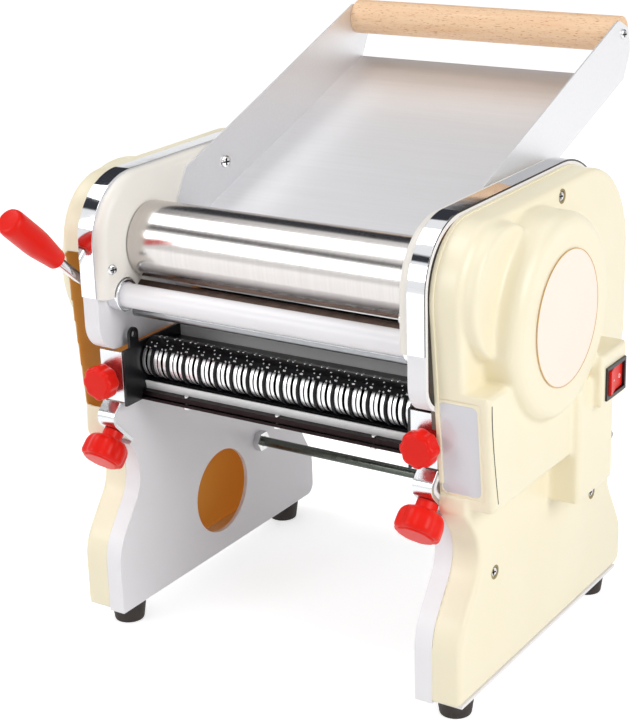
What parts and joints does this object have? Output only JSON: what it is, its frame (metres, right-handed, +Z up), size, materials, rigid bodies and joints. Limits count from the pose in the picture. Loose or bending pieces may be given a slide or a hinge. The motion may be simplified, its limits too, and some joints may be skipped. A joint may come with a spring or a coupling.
{
  "type": "electric pasta maker",
  "caption": "Electric pasta maker: geared press rollers with a thickness lever, a noodle cutter cassette, a feed hopper and a gear motor between two legged side frames",
  "frame": {"origin": "bottom centre of the bounding box, on the plane the feet stand on", "axes": "+Z up, -Y towards the user, +X towards the motor and the switch"},
  "size_m": [0.3616, 0.397, 0.4027],
  "materials": {
    "white_paint": "satin",
    "cream_plastic": "gloss",
    "chrome_trim": "polished",
    "stainless": "satin",
    "zinc": "zinc plated",
    "steel": "machined",
    "black_plastic": "satin",
    "red_plastic": "gloss",
    "grey_plastic": "gloss",
    "rubber": "matt",
    "beech": "oiled",
    "motor_steel": "satin"
  },
  "bodies": {
    "machine": {"left_side_frame": "white_paint", "right_side_frame": "white_paint", "left_trim_strip": "chrome_trim", "right_trim_strip": "chrome_trim", "left_inner_cheek": "cream_plastic", "right_inner_cheek": "cream_plastic", "left_outer_cover": "cream_plastic", "right_outer_cover": "cream_plastic", "window_plate": "grey_plastic", "badge_disc": "cream_plastic", "switch_bezel": "black_plastic", "power_inlet": "black_plastic", "front_bar": "white_paint", "front_bar_rings": "chrome_trim", "tie_rod": "zinc", "tie_rod_nuts": "zinc", "rubber_feet": "rubber", "foot_screws": "zinc", "cover_screws": "zinc", "cheek_screws": "zinc", "feed_hopper": "stainless", "hopper_bolts": "zinc", "wooden_bar": "beech", "bar_end_screws": "zinc", "rear_roller_bearings": "steel", "idler_pin": "steel", "gear_motor": "motor_steel", "motor_screws": "zinc", "roller_scrapers": "stainless", "clamp_studs": "zinc"},
    "front_carriage": {"front_bearing_blocks": "black_plastic"},
    "front_roller": {"front_press_roller": "stainless", "front_roller_gear": "steel"},
    "rear_roller": {"rear_press_roller": "stainless", "rear_roller_gear": "steel", "cutter_drive_gear": "steel", "motor_coupling": "steel"},
    "thickness_lever": {"adjusting_shaft": "steel", "lever_rod": "steel", "lever_grip": "red_plastic"},
    "cassette": {"cassette_side_plates": "black_plastic", "cassette_flanges": "zinc", "cutter_comb": "black_plastic", "chute_strip": "stainless", "rear_guide_plate": "stainless", "cassette_crossbars": "black_plastic", "crossbar_bolts": "zinc", "upper_knob_studs": "zinc"},
    "front_cutter": {"front_cutter_roller": "stainless", "front_cutter_gear": "steel"},
    "rear_cutter": {"rear_cutter_roller": "stainless", "rear_cutter_gears": "steel"},
    "idler": {"idler_gear": "steel"},
    "left_upper_knob_body": {"left_upper_knob": "red_plastic"},
    "right_upper_knob_body": {"right_upper_knob": "red_plastic"},
    "left_clamp": {"left_clamp_strap": "zinc"},
    "right_clamp": {"right_clamp_strap": "zinc"},
    "left_lower_knob_body": {"left_lower_knob": "red_plastic"},
    "right_lower_knob_body": {"right_lower_knob": "red_plastic"},
    "rocker": {"rocker_switch": "red_plastic"}
  },
  "joints": [
    {"name": "rear_roller_spin", "type": "hinge", "parent": "machine", "child": "rear_roller", "pos_m": [0, -0.0384, 0.254], "axis": [1, 0, 0], "continuous": true},
    {"name": "lever_hinge", "type": "hinge", "parent": "machine", "child": "thickness_lever", "pos_m": [0, -0.096, 0.232], "axis": [1, 0, 0], "range_deg": [-8.1, 46.1]},
    {"name": "front_roller_slide", "type": "slide", "parent": "machine", "child": "front_carriage", "axis": [0, -0.8715, 0.4904], "range_m": [-0.00043, 0.0025]},
    {"name": "front_roller_spin", "type": "hinge", "parent": "front_carriage", "child": "front_roller", "pos_m": [0, -0.08549, 0.2805], "axis": [1, 0, 0], "continuous": true},
    {"name": "cassette_slide", "type": "slide", "parent": "machine", "child": "cassette", "axis": [0, -1, 0], "range_m": [0, 0.09]},
    {"name": "front_cutter_spin", "type": "hinge", "parent": "cassette", "child": "front_cutter", "pos_m": [0, -0.0913, 0.1985], "axis": [1, 0, 0], "continuous": true},
    {"name": "rear_cutter_spin", "type": "hinge", "parent": "cassette", "child": "rear_cutter", "pos_m": [0, -0.0713, 0.189], "axis": [1, 0, 0], "continuous": true},
    {"name": "idler_spin", "type": "hinge", "parent": "machine", "child": "idler", "pos_m": [0.125, -0.06371, 0.2197], "axis": [1, 0, 0], "continuous": true},
    {"name": "rocker_hinge", "type": "hinge", "parent": "machine", "child": "rocker", "pos_m": [0.1775, 0.027, 0.1942], "axis": [0, 0, 1], "range_deg": [-16, 0]},
    {"name": "left_upper_knob_spin", "type": "hinge", "parent": "cassette", "child": "left_upper_knob_body", "pos_m": [-0.123, -0.131, 0.19], "axis": [0, -1, 0], "continuous": true},
    {"name": "left_clamp_slide", "type": "slide", "parent": "machine", "child": "left_clamp", "axis": [0, -0.7071, -0.7071], "range_m": [0, 0.004]},
    {"name": "left_lower_knob_spin", "type": "hinge", "parent": "left_clamp", "child": "left_lower_knob_body", "pos_m": [-0.123, -0.1215, 0.151], "axis": [0, -0.7071, -0.7071], "continuous": true},
    {"name": "right_upper_knob_spin", "type": "hinge", "parent": "cassette", "child": "right_upper_knob_body", "pos_m": [0.123, -0.131, 0.19], "axis": [0, -1, 0], "continuous": true},
    {"name": "right_clamp_slide", "type": "slide", "parent": "machine", "child": "right_clamp", "axis": [0, -0.7071, -0.7071], "range_m": [0, 0.004]},
    {"name": "right_lower_knob_spin", "type": "hinge", "parent": "right_clamp", "child": "right_lower_knob_body", "pos_m": [0.123, -0.1215, 0.151], "axis": [0, -0.7071, -0.7071], "continuous": true}
  ],
  "couplings": [
    {"joint": "lever_hinge", "follows": "front_roller_slide", "rad_per_m": 321.14},
    {"joint": "front_roller_spin", "follows": "rear_roller_spin", "ratio": -1},
    {"joint": "idler_spin", "follows": "rear_roller_spin", "ratio": -1.0667},
    {"joint": "rear_cutter_spin", "follows": "rear_roller_spin", "ratio": 2},
    {"joint": "front_cutter_spin", "follows": "rear_roller_spin", "ratio": -2}
  ]
}
